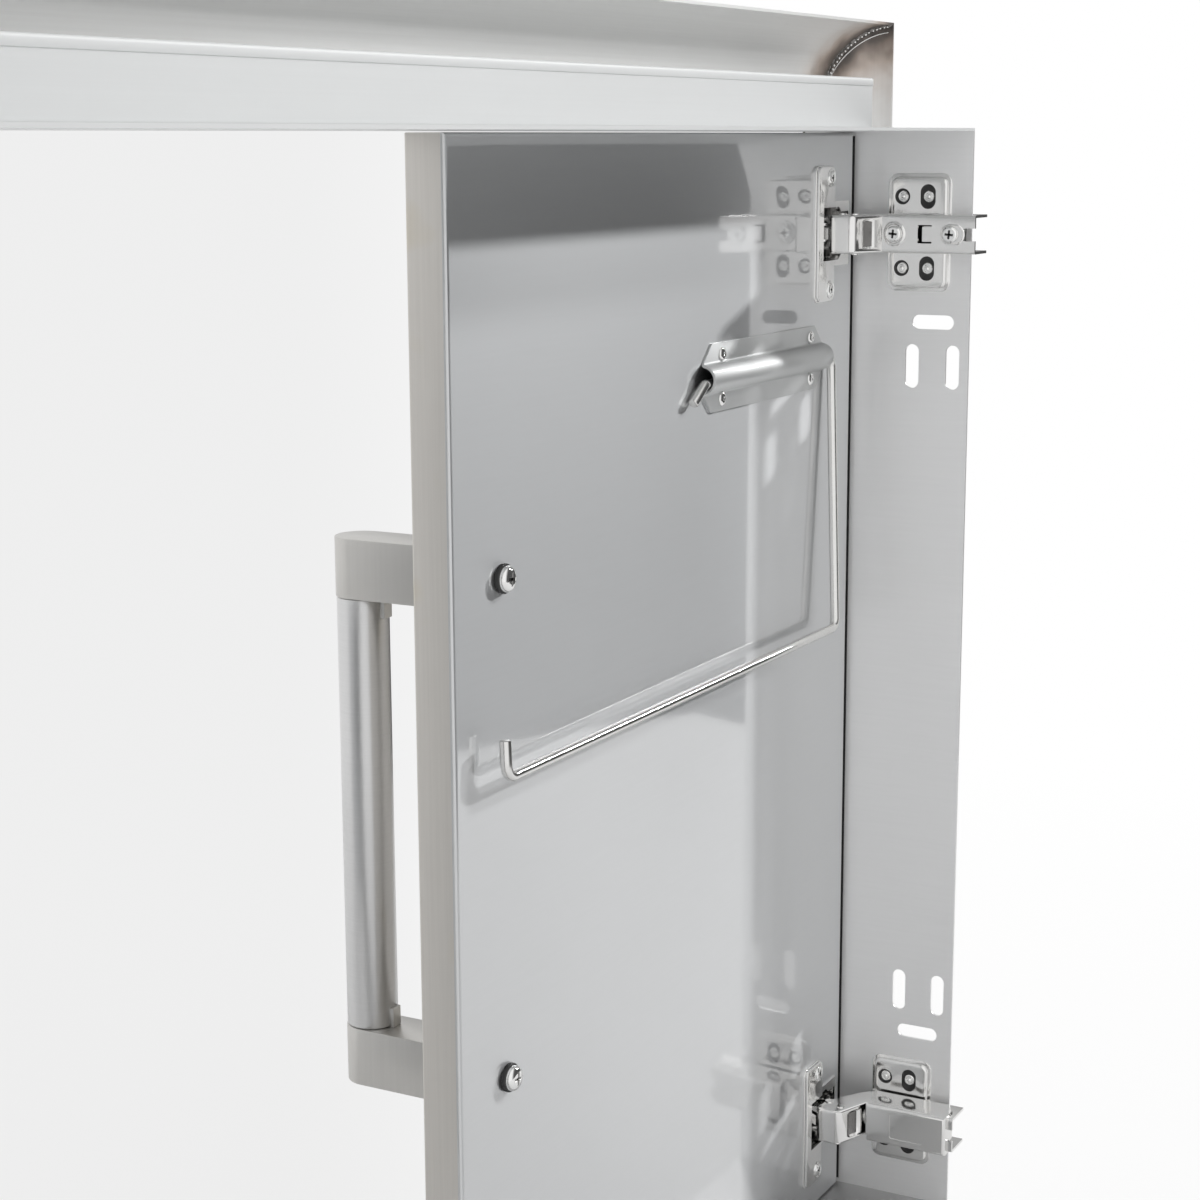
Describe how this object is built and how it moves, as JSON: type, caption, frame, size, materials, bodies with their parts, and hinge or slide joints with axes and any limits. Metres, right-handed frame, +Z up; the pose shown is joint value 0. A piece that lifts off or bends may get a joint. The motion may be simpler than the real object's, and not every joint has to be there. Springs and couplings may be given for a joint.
{
  "type": "bbq island access door",
  "caption": "Stainless access door unit for an outdoor kitchen island: trimmed frame with a liner, side-hung leaves on concealed cranked hinges, bar handles and a swinging paper towel arm.",
  "frame": {"origin": "middle of the opening's width, in the plane where the trim's rear rim rests on the island's face, at the height of the trim's bottom edge", "axes": "+X to the right when looking at the front of the island, +Y backwards into the island, +Z up"},
  "size_m": [0.8317, 0.4072, 0.61],
  "materials": {
    "frame_steel": "satin stainless sheet",
    "leaf_steel": "bright stainless sheet",
    "handle_steel": "brushed stainless tube and bar",
    "rod_steel": "polished wire rod",
    "hinge_nickel": "nickel plated",
    "fastener": "bright plated",
    "weld": "weld bead with heat tint"
  },
  "bodies": {
    "frame": {"trim_top": "frame_steel", "trim_right": "frame_steel", "trim_bottom": "frame_steel", "trim_left": "frame_steel", "corner_welds": "weld", "panel_left": "frame_steel", "panel_right": "frame_steel", "liner_top": "frame_steel", "liner_bottom": "frame_steel", "top_strip": "frame_steel", "mounting_plates": "hinge_nickel", "plate_screws": "fastener", "hinge_arms_left": "hinge_nickel", "hinge_arms_right": "hinge_nickel", "arm_screws": "fastener", "arm_covers": "hinge_nickel", "arm_pins": "fastener"},
    "left_leaf": {"left_outer_pan": "leaf_steel", "left_inner_skin": "leaf_steel", "left_stiffener": "leaf_steel", "left_handle_posts": "handle_steel", "left_handle_tube": "handle_steel", "left_handle_screws": "fastener", "left_handle_washers": "fastener", "left_hinge_cups": "hinge_nickel", "left_cup_screws": "fastener", "left_cup_pins": "fastener", "left_cup_springs": "fastener", "towel_bracket": "leaf_steel", "towel_rivets": "fastener"},
    "left_main_link": {"left_main_links": "hinge_nickel"},
    "left_idle_link": {"left_idle_links": "hinge_nickel"},
    "right_leaf": {"right_outer_pan": "leaf_steel", "right_inner_skin": "leaf_steel", "right_stiffener": "leaf_steel", "right_handle_posts": "handle_steel", "right_handle_tube": "handle_steel", "right_handle_screws": "fastener", "right_handle_washers": "fastener", "right_hinge_cups": "hinge_nickel", "right_cup_screws": "fastener", "right_cup_pins": "fastener", "right_cup_springs": "fastener"},
    "right_main_link": {"right_main_links": "hinge_nickel"},
    "right_idle_link": {"right_idle_links": "hinge_nickel"},
    "towel_arm": {"towel_arm": "rod_steel"}
  },
  "joints": [
    {"name": "left_leaf_swing", "type": "hinge", "parent": "left_main_link", "child": "left_leaf", "pos_m": [-0.337, -0.0092, 0.305], "axis": [0, 0, -1], "range_deg": [0, 80.5]},
    {"name": "left_link_swing", "type": "hinge", "parent": "frame", "child": "left_main_link", "pos_m": [-0.3256, 0.0076, 0.305], "axis": [0, 0, -1], "range_deg": [-0.5, 16]},
    {"name": "left_idle_swing", "type": "hinge", "parent": "frame", "child": "left_idle_link", "pos_m": [-0.3224, 0.0149, 0.305], "axis": [0, 0, -1], "range_deg": [-9.4, 0.5]},
    {"name": "right_leaf_swing", "type": "hinge", "parent": "right_main_link", "child": "right_leaf", "pos_m": [0.34107, -0.00554, 0.305], "axis": [0, 0, 1], "range_deg": [-80.5, 0]},
    {"name": "right_link_swing", "type": "hinge", "parent": "frame", "child": "right_main_link", "pos_m": [0.3256, 0.0076, 0.305], "axis": [0, 0, 1], "range_deg": [-16, 0.5]},
    {"name": "right_idle_swing", "type": "hinge", "parent": "frame", "child": "right_idle_link", "pos_m": [0.3224, 0.0149, 0.305], "axis": [0, 0, 1], "range_deg": [-0.5, 9.4]},
    {"name": "towel_arm_swing", "type": "hinge", "parent": "left_leaf", "child": "towel_arm", "pos_m": [-0.25, 0.0054, 0.46014], "axis": [1, 0, 0], "range_deg": [0, 110]}
  ],
  "couplings": [
    {"joint": "left_link_swing", "follows": "left_leaf_swing", "ratio": 0.19255},
    {"joint": "left_idle_swing", "follows": "left_leaf_swing", "ratio": -0.11056},
    {"joint": "right_link_swing", "follows": "right_leaf_swing", "ratio": 0.19255},
    {"joint": "right_idle_swing", "follows": "right_leaf_swing", "ratio": -0.11056}
  ]
}
